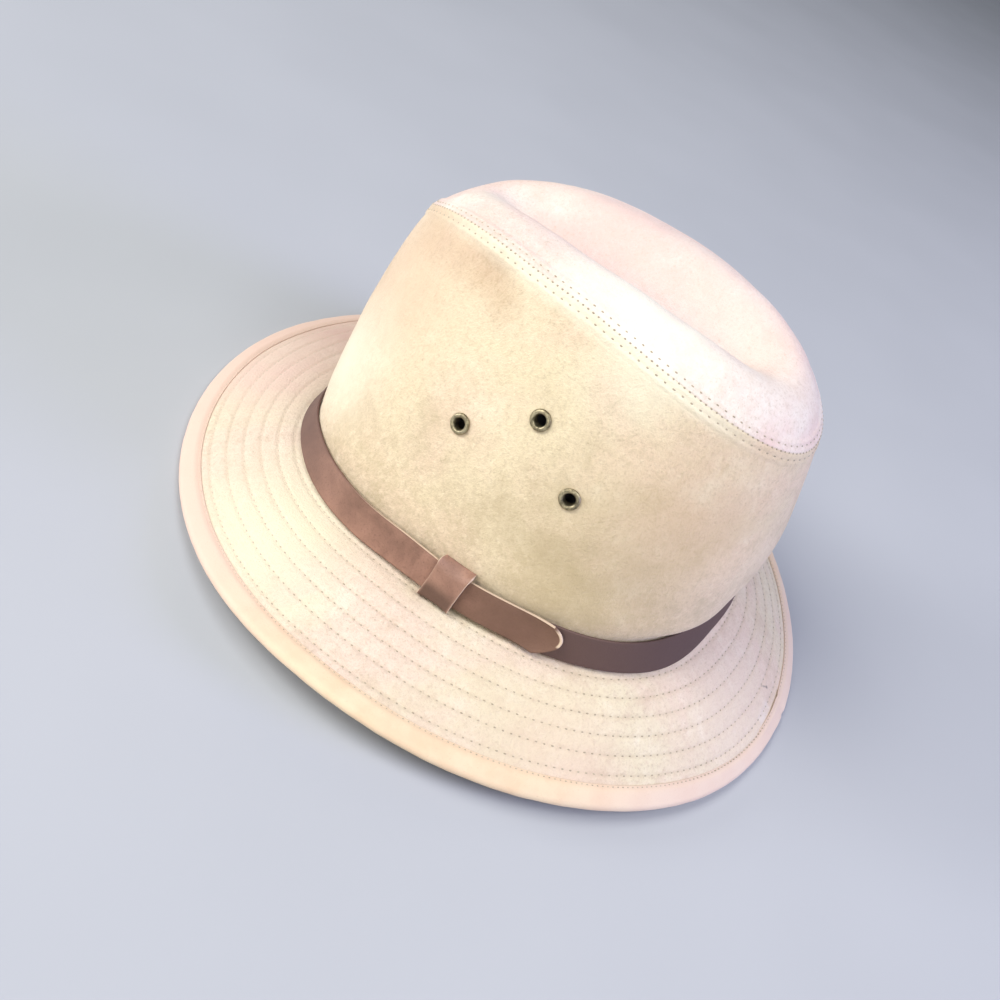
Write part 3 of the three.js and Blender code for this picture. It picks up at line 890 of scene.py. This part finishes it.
def onTip(distance):
    share = np.linspace(0, crownTip["seamShare"], stitch["tipSteps"])

    def place(angle, lift):
        shape = (len(share), len(angle))
        lines = tipBase(np.broadcast_to(angle, shape), np.broadcast_to(share[:, None], shape))
        run = np.cumsum(np.linalg.norm(np.diff(lines, axis=0), axis=-1), 0)
        row = np.argmax(run >= distance, 0)
        past = np.take_along_axis(run, row[None], 0)[0] - distance
        at = share[row + 1] - past / stitch["tipMmPerShare"]
        points = tipBase(angle, at)
        across = unit(tipBase(angle, at + stitch["tipShareStep"]) - points)
        around = unit(tipBase(angle + stitch["tipTurnStep"], at) - points)
        up = unit(np.cross(around, across))
        return points + up * (seamLift(angle, distance) + lift)[..., None]
    return place


def onSeam(angle, lift):
    return seamEdge(angle) + seamOut(angle) * (lift + seamLift(angle, 0.0) - seamWork["turnIn"])[..., None]


# Suede: grains give scale, detail, roughness and warp

suede = {
    "surface": {"Sheen_Weight": 0.3, "Sheen_Roughness": 0.5, "Specular_IOR_Level": 0.15},
    "side": {
        "base": tone(225, 210, 178), "patch": tone(226, 204, 178),
        "deep": tone(196, 179, 147), "pale": tone(238, 227, 201),
        "toning": [  # degrees, height, spread, strength, colour; the pale spots at -50 and 22 degrees are painted light, and the olive and brown spots at 38 and 50 degrees are painted shade
            (-46, 86, 58, 0.8, tone(221, 194, 167)), (-50, 40, 46, 0.8, tone(246, 236, 214)),
            (-5, 92, 40, 0.2, tone(236, 224, 188)), (38, 42, 60, 0.75, tone(186, 168, 132)),
            (50, 78, 46, 0.65, tone(204, 178, 144)), (22, 114, 30, 0.6, tone(244, 237, 214)),
        ],
    },
    "tip": {
        "base": tone(238, 230, 218), "patch": tone(231, 205, 197),
        "deep": tone(218, 200, 184), "pale": tone(245, 240, 232),
        "toning": [  # degrees, share of the way up the shoulder and into the dent, spread, strength, colour; the pale spot on the near shoulder is painted light
            (140, 1.3, 60, 0.7, tone(228, 201, 192)), (200, 1.3, 60, 0.7, tone(228, 199, 190)),
            (15, 0.5, 55, 0.9, tone(244, 241, 226)),
        ],
    },
    "brim": {
        "base": tone(226, 215, 187), "patch": tone(228, 208, 190),
        "deep": tone(207, 186, 164), "pale": tone(240, 231, 213),
        "toning": [  # degrees, share of the width, spread, strength, colour; the pink spots at -100 and -72 degrees and the grey-pink spot at 85 are painted shade; the last four are dark specks
            (-100, 0.55, 60, 0.95, tone(214, 180, 167)), (-72, 0.6, 55, 0.9, tone(226, 198, 184)),
            (85, 0.5, 60, 0.5, tone(226, 204, 196)), (40, 0.85, 35, 0.5, tone(228, 200, 182)),
            (-25, 0.4, 70, 0.9, tone(236, 229, 200)), (30, 0.6, 60, 0.45, tone(216, 200, 172)),
            (100.6, 0.7, 1.3, 0.9, tone(86, 78, 76)), (100.1, 0.682, 0.9, 0.8, tone(96, 88, 86)),
            (99.6, 0.668, 0.9, 0.8, tone(96, 88, 86)), (99.1, 0.652, 0.8, 0.7, tone(104, 96, 94)),
        ],
    },
    "grains": {"patches": (15, 4, 0.6, 0.6), "clouds": (46, 5, 0.65, 0.3), "mottle": (360, 5, 0.75),
               "nap": (900, 4, 0.75)},
    "strokes": (330, 4, 0.7), "brushed": (1, 1, 0.3), "patchFrom": (0.38, 0.6),
    # layers: grain, where it starts and is full, strength, tone
    "softLayers": [("clouds", 0.5, 0.74, 0.65, "deep"), ("clouds", 0.48, 0.22, 0.7, "pale")],
    "fineLayers": [("strokes", 0.5, 0.78, 0.5, "deep"), ("mottle", 0.48, 0.75, 0.6, "deep"),
                   ("mottle", 0.5, 0.2, 0.6, "pale"), ("nap", 0.48, 0.78, 0.55, "dirt")],
    # the dirt tone serves both the dirt specks and the painted shade in the sewn grooves
    "dirt": tone(170, 150, 122), "grooveShade": 0.2, "ragged": 1.2,
    # darker towards the band: metres up, and the grains that break it
    "bandDarkFrom": (0.095, 0.03), "bandDarkClouds": (0.35, 0.65), "bandDarkMottle": (0.4, 0.65),
    # painted light: pale along the near seam, on the side the light falls on
    "worn": tone(243, 237, 214), "litSeamUp": (0.74, 0.94), "litSeamSide": (0.028, 0.048),
    # brown smudges under the seam: degrees, height, spread, strength
    "smudges": [(-46, 105, 17, 0.3), (-36, 109, 18, 0.35), (-26, 112, 17, 0.45), (-18, 112, 15, 0.55),
                (-12, 107, 12, 0.4)],
    "smudge": tone(178, 142, 112),
    # bare pale spots beside the open end of the binding: degrees, share of the brim's width, spread
    "bareSpots": [(97, 0.775, 4), (94.5, 0.795, 4.5), (92.5, 0.81, 4)],
    "bare": tone(226, 216, 208), "bareShare": 0.6,
    "bump": (0.65, 0.0014),
}


def suedeSpot(part, degrees, along):  # along is a height on the side, or a share of the tip or brim
    angle = math.radians(degrees)
    if part == "side":
        return wallAt(angle, along)
    if part == "tip":
        return tipBase(np.array([angle]), np.array([along]))[0]
    return brimAt(angle, along * brimWidth(angle), 0.0)


def suedeFinish(part):
    tones = {"dirt": suede["dirt"], **suede[part]}
    material, shader, start = newFinish("suede_" + part, **suede["surface"])
    place = start.coords("Object")
    brushed = start.node("ShaderNodeMapping", None, {"Vector": place, "Scale": suede["brushed"]})
    grains = {name: start.grain(place, *size) for name, size in suede["grains"].items()}
    grains["strokes"] = start.grain(brushed, *suede["strokes"])
    patches, clouds, mottle = grains["patches"], grains["clouds"], grains["mottle"]
    groove = start.node("ShaderNodeAttribute", {"attribute_name": "groove"}, output="Fac")

    def layered(colour, layers):
        for name, low, high, strength, layerTone in layers:
            colour = (grains[name].rise(low, high) * strength).blend(colour, tones[layerTone])
        return colour

    def spot(degrees, along, spread, ragged):  # 1 at the place, 0 beyond its spread
        point = metres(suedeSpot(part, degrees, along))
        away = start.node("ShaderNodeVectorMath", {"operation": "DISTANCE"}, {0: place, 1: point}, "Value")
        reach = spread / perMetre
        return (away + (ragged - 0.5) * (reach * suede["ragged"])).rise(reach, 0.0)

    colour = patches.rise(*suede["patchFrom"]).blend(tones["base"], tones["patch"])
    colour = layered(colour, suede["softLayers"])
    if part == "side":  # darker towards the band, in patches
        bandDarkening = 0.2 + clouds.rise(*suede["bandDarkClouds"]) * 0.45
        bandDarkening = bandDarkening + mottle.rise(*suede["bandDarkMottle"]) * 0.35
        colour = (place.axis("Z").rise(*suede["bandDarkFrom"]) * bandDarkening).blend(colour, tones["deep"])
    colour = layered(colour, suede["fineLayers"])
    # painted shade in the bottom of the sewn grooves
    colour = (groove * suede["grooveShade"]).blend(colour, suede["dirt"])
    # the toning tables say which spots are painted light and which are painted shade
    for degrees, along, spread, strength, spotColour in tones["toning"]:
        mark = spot(degrees, along, spread, patches) * strength
        colour = (mark * (0.4 + clouds)).blend(colour, spotColour)
    if part == "side":
        # painted light along the near seam
        worn = start.coords("UV").axis("Y").rise(*suede["litSeamUp"]) * place.axis("X").rise(*suede["litSeamSide"])
        colour = (worn * (0.45 + clouds * 0.6)).blend(colour, suede["worn"])
        for degrees, height, spread, strength in suede["smudges"]:
            mark = spot(degrees, height, spread, clouds) * strength
            colour = (mark * (0.35 + mottle * 0.65)).blend(colour, suede["smudge"])
    if part == "brim":
        for degrees, along, spread in suede["bareSpots"]:
            colour = (spot(degrees, along, spread, mottle) * suede["bareShare"]).blend(colour, suede["bare"])
    relief = grains["nap"] * 0.6 + mottle * 0.3 + grains["strokes"] * 0.3
    plug(shader, Base_Color=colour, Normal=relief.bump(*suede["bump"]), Roughness=0.86 + mottle * 0.14)
    return material


bindingLook = {
    "surface": {"Sheen_Weight": 0.12, "Specular_IOR_Level": 0.3},
    "base": tone(227, 206, 175), "patch": tone(223, 196, 164),
    "mottle": (70, 4, 0.6), "mottleFrom": (0.35, 0.68),
    "frontFrom": (0.03, -0.08), "front": tone(223, 195, 182), "frontShare": 0.85,  # metres along Y; pinker in front and greyer at the back: painted shade
    "backFrom": (0.09, 0.14), "back": tone(220, 200, 190), "backShare": 0.6,
    "pores": (1500, 3, 0.6), "poreFrom": (0.58, 0.74), "pore": tone(200, 170, 140), "poreShare": 0.3,
    # painted shade in the stitched groove
    "groove": tone(184, 156, 134), "grooveShadeShare": 0.2,
    "edgeFrom": (0.98, 0.996), "edge": tone(150, 122, 110), "bump": (0.25, 0.0004),
}


def bindingFinish():
    look = bindingLook
    material, shader, start = newFinish("folded_edge_leather", **look["surface"])
    place = start.coords("Object")
    mottle = start.grain(place, *look["mottle"])
    pores = start.grain(place, *look["pores"])
    groove = start.node("ShaderNodeAttribute", {"attribute_name": "groove"}, output="Fac")
    toEdge = start.coords("UV").axis("Y").fromMiddle()
    front, back = place.axis("Y").rise(*look["frontFrom"]), place.axis("Y").rise(*look["backFrom"])
    colour = mottle.rise(*look["mottleFrom"]).blend(look["base"], look["patch"])
    # painted shade: pinker in front, greyer at the back
    colour = (front * look["frontShare"]).blend(colour, look["front"])
    colour = (back * look["backShare"]).blend(colour, look["back"])
    colour = (pores.rise(*look["poreFrom"]) * look["poreShare"]).blend(colour, look["pore"])
    # painted shade in the stitched groove
    colour = (groove * look["grooveShadeShare"]).blend(colour, look["groove"])
    edges = toEdge.rise(*look["edgeFrom"]) * (0.32 - front * 0.28)
    colour = edges.blend(colour, look["edge"])  # dark along its cut edges, partly their own colour and partly painted shade along the inner edge; less so in front
    plug(shader, Base_Color=colour, Normal=pores.bump(*look["bump"]), Roughness=0.62 + mottle * 0.2)
    return material


strapLook = {
    "band": {
        "dark": tone(125, 96, 83), "light": tone(163, 126, 110), "pore": tone(88, 64, 56),
        "edge": tone(100, 74, 64), "edgeFrom": (0.9, 1.0), "shine": 0.15,
    },
    "keeper": {
        # lighter than the band's tones: painted highlight on the keeper's face
        "dark": tone(134, 101, 87), "light": tone(174, 136, 117), "pore": tone(94, 69, 59),
        "edge": tone(160, 126, 110), "edgeFrom": (0.86, 0.99), "shine": 0.4,
    },
    "tint": (34, 5, 0.65, 0.4), "tintFrom": (0.3, 0.7), "cells": 850, "cellEdge": (0.0, 0.12),
    "pores": (1100, 4, 0.7), "poreFrom": (0.5, 0.75), "poreShare": 0.45, "edgeShare": 0.6,
    "scuffs": (240, 4, 0.75, 1.5), "scuffFrom": (0.64, 0.78), "scuffShare": 0.3,
    "scuff": tone(176, 144, 126),
    "shadedFootFrom": (0.0375, 0.031), "foot": tone(70, 50, 41), "shadedFootShare": 0.8,  # metres up; painted shade towards the keeper's foot
    # painted shade: under darkens the first turn towards the back right, and hidden is near black where the
    # band runs into the crown's shade
    "under": tone(92, 70, 61), "hidden": tone(30, 21, 20),
    "greyed": tone(101, 82, 78), "end": tone(108, 83, 70),
    # the band from its start to its end: tone, strength, and where on its length it comes in or goes; under
    # and hidden are painted shade
    "lengthwise": [("under", 0.92, [(0.34, 0.14)]), ("hidden", 0.9, [(0.115, 0.165), (0.34, 0.2)]),
                   ("greyed", 0.8, [(0.86, 0.74)]), ("end", 0.72, [(0.915, 0.945)])],
    "raw": tone(226, 204, 178), "rawShare": 0.95, "keeperRaw": (0.988, 0.998),
    "rawEnd": (0.9966, 0.998), "rawEndAcross": [(0.42, 0.5), (0.98, 0.86)],
    "rawTop": (0.986, 0.997), "rawTopAlong": (0.82, 0.89),
    "dullScuffs": (0.6, 0.75), "dullUnder": (0.34, 0.14), "bump": (0.25, 0.0005),
}


def strapFinish(part):
    look, tones = strapLook, strapLook[part]
    material, shader, start = newFinish(part + "_leather", Specular_IOR_Level=tones["shine"])
    place = start.coords("Object")
    flat = start.coords("UV")
    along, across = flat.axis("X"), flat.axis("Y")
    tint = start.grain(place, *look["tint"])
    pores = start.grain(place, *look["pores"])
    scuffs = start.grain(place, *look["scuffs"])
    cells = start.node("ShaderNodeTexVoronoi", {"feature": "DISTANCE_TO_EDGE"},
                       {"Vector": place, "Scale": look["cells"]})
    colour = tint.rise(*look["tintFrom"]).blend(tones["dark"], tones["light"])
    colour = (pores.rise(*look["poreFrom"]) * look["poreShare"]).blend(colour, tones["pore"])
    colour = (scuffs.rise(*look["scuffFrom"]) * look["scuffShare"]).blend(colour, look["scuff"])
    toEdge = across.fromMiddle()
    edges = toEdge.rise(*tones["edgeFrom"]) * look["edgeShare"]
    dull = 0.46 + tint * 0.2 + scuffs.rise(*look["dullScuffs"]) * 0.2
    if part == "keeper":
        foot = place.axis("Z").rise(*look["shadedFootFrom"]) * look["shadedFootShare"]
        colour = foot.blend(colour, look["foot"])  # painted shade: darker towards its foot
        colour = edges.blend(colour, tones["edge"])
        raw = toEdge.rise(*look["keeperRaw"]) * 0.8
    else:
        colour = edges.blend(colour, tones["edge"])
        # the under and hidden tones here are painted shade
        for name, strength, spans in look["lengthwise"]:
            share = along.rise(*spans[0])
            for span in spans[1:]:
                share = share * along.rise(*span)
            colour = (share * strength).blend(colour, look[name])
        raw = along.rise(*look["rawEnd"])
        for span in look["rawEndAcross"]:
            raw = raw * across.rise(*span)
        raw = raw.largest(across.rise(*look["rawTop"]) * along.rise(*look["rawTopAlong"]) * 0.7)
        dull = dull + along.rise(*look["dullUnder"]) * 0.15
    colour = (raw * look["rawShare"]).blend(colour, look["raw"])
    relief = cells.rise(*look["cellEdge"]) * 0.6 + pores * 0.4
    plug(shader, Base_Color=colour, Normal=relief.bump(*look["bump"]), Roughness=dull)
    return material


brassLook = {
    "bright": tone(176, 166, 136), "dull": tone(112, 104, 84), "dullFrom": (0.38, 0.62),
    "tarnish": (420, 5, 0.7), "fine": (2600, 2, 0.6), "bump": (0.12, 0.0002),
}


def brassFinish():
    look = brassLook
    material, shader, start = newFinish("antique_brass")
    place = start.coords("Object")
    tarnish = start.grain(place, *look["tarnish"])
    fine = start.grain(place, *look["fine"])
    colour = tarnish.rise(*look["dullFrom"]).blend(look["bright"], look["dull"])
    plug(shader, Base_Color=colour, Normal=fine.bump(*look["bump"]), Roughness=0.28 + tarnish * 0.3,
         Metallic=1 - tarnish * 0.25)
    return material


threadLook = {
    "surface": {"Sheen_Weight": 0.2, "Specular_IOR_Level": 0.25},
    "dark": tone(158, 146, 124), "light": tone(184, 170, 148), "lightFrom": (0.3, 0.7),
    "front": tone(216, 199, 180), "frontFrom": (-0.01, -0.08),  # metres along Y; painted light: paler towards the front, where the light washes the stitches out
    "brimFront": 0.8, "seamFront": 0.25,
    "worn": (120, 3, 0.6), "twist": (3000, 2, 0.5), "bump": (0.4, 0.0002),
}


def threadFinish(name, frontShare):
    look = threadLook
    material, shader, start = newFinish(name, **look["surface"])
    place = start.coords("Object")
    worn = start.grain(place, *look["worn"])
    twist = start.grain(place, *look["twist"])
    colour = worn.rise(*look["lightFrom"]).blend(look["dark"], look["light"])
    # painted light: paler towards the front
    colour = (place.axis("Y").rise(*look["frontFrom"]) * frontShare).blend(colour, look["front"])
    plug(shader, Base_Color=colour, Normal=twist.bump(*look["bump"]), Roughness=0.8 + twist * 0.15)
    return material


thread = threadFinish("sewing_thread", threadLook["brimFront"])
seamThread = threadFinish("seam_thread", threadLook["seamFront"])

makeCrownSide(suedeFinish("side"))
makeCrownTip(suedeFinish("tip"))
makeBrim(suedeFinish("brim"))
makeBinding(bindingFinish())
makeStrap(strapFinish("band"))
makeKeeper(strapFinish("keeper"))
makeEyelets(brassFinish())
for name, side in (("brim_top_stitching", 1), ("brim_under_stitching", -1)):
    rows = [sewRow(brimRow(row, side), brim["pitch"]) for row in range(brim["stitchRows"])]
    makeStitching(name, rows, thread)
rows = [sewRow(bindingRow(side), stitch["bindingPitch"], stitch["bindingLength"], stitch["bindingRadius"])
        for side in (1, -1)]
makeStitching("binding_stitching", rows, thread)
rows = [sewRow(onTip(seamWork["topstitch"]), stitch["tipPitch"]),
        sewRow(onSeam, stitch["seamPitch"], stitch["seamLength"], stitch["seamRadius"]),
        sewRow(onWall(seamWork["topstitch"]), stitch["sidePitch"])]
makeStitching("crown_seam_stitching", rows, seamThread)

# Floor, light and camera

studio = {
    "floorSize": 24, "floor": [tone(176, 180, 186), tone(180, 184, 190)], "floorGrain": (6, 2),
    "floorSurface": {"Specular_IOR_Level": 0.2, "Roughness": 0.85},
    "world": (0.86, 0.92, 1.0, 1), "worldStrength": 0.16, "aim": (0, 0, 0.08),
    "lights": {
        "key": {"place": (1.4, -1.4, 2.3), "size": 1.6, "power": 65, "colour": (1, 0.965, 0.91)},
        "top": {"place": (0.5, 1.3, 2.5), "size": 1.6, "power": 40, "colour": (0.97, 0.98, 1)},
        "near": {"place": (2.4, 0.22, 0.75), "size": 0.8, "power": 15, "colour": (1, 0.95, 0.86)},
        "front": {"place": (1.3, -2.3, 0.8), "size": 0.8, "power": 31, "colour": (0.99, 0.98, 1)},
        "back": {"place": (-0.7, 2.4, 0.9), "size": 0.9, "power": 38, "colour": (0.53, 0.52, 1)},
    },
}
view = {
    "place": (0.33905, 0.10118, 0.30901), "turn": (46.149, -21.731, 127.57),  # metres and degrees
    "lens": 35.126, "sensor": 36, "clipStart": 0.01, "clipEnd": 60,
}

bpy.ops.object.select_all(action="DESELECT")
bpy.ops.mesh.primitive_plane_add(size=studio["floorSize"], location=(0, 0, 0))
floor = bpy.context.object
floor.name = "floor"
floorMaterial, floorShader, start = newFinish("pale_floor", **studio["floorSurface"])
floorGrain = start.grain(start.coords("Object"), *studio["floorGrain"])
plug(floorShader, Base_Color=floorGrain.rise(0.2, 0.8).blend(*studio["floor"]))
floor.data.materials.append(floorMaterial)

for name, lamp in studio["lights"].items():
    light = bpy.data.lights.new(name + "_light", "AREA")
    light.shape = "DISK"
    light.size, light.energy, light.color = lamp["size"], lamp["power"], lamp["colour"]
    holder = bpy.data.objects.new(name + "_light", light)
    holder.location = lamp["place"]
    toAim = Vector(studio["aim"]) - Vector(lamp["place"])
    holder.rotation_euler = toAim.to_track_quat("-Z", "Y").to_euler()
    bpy.context.collection.objects.link(holder)

world = bpy.data.worlds.new("soft_room")
world.use_nodes = True
background = world.node_tree.nodes["Background"]
background.inputs["Color"].default_value = studio["world"]
background.inputs["Strength"].default_value = studio["worldStrength"]
bpy.context.scene.world = world
bpy.context.scene.view_settings.view_transform = "Standard"

camera = bpy.data.objects.new("photo_camera", bpy.data.cameras.new("photo_camera"))
camera.data.sensor_fit = "HORIZONTAL"
camera.data.lens, camera.data.sensor_width = view["lens"], view["sensor"]
camera.data.clip_start, camera.data.clip_end = view["clipStart"], view["clipEnd"]
turn = Euler([math.radians(degrees) for degrees in view["turn"]], "XYZ").to_matrix().to_4x4()
camera.matrix_world = Matrix.Translation(view["place"]) @ turn
bpy.context.collection.objects.link(camera)
bpy.context.scene.camera = camera
print("floor, lights and camera set")
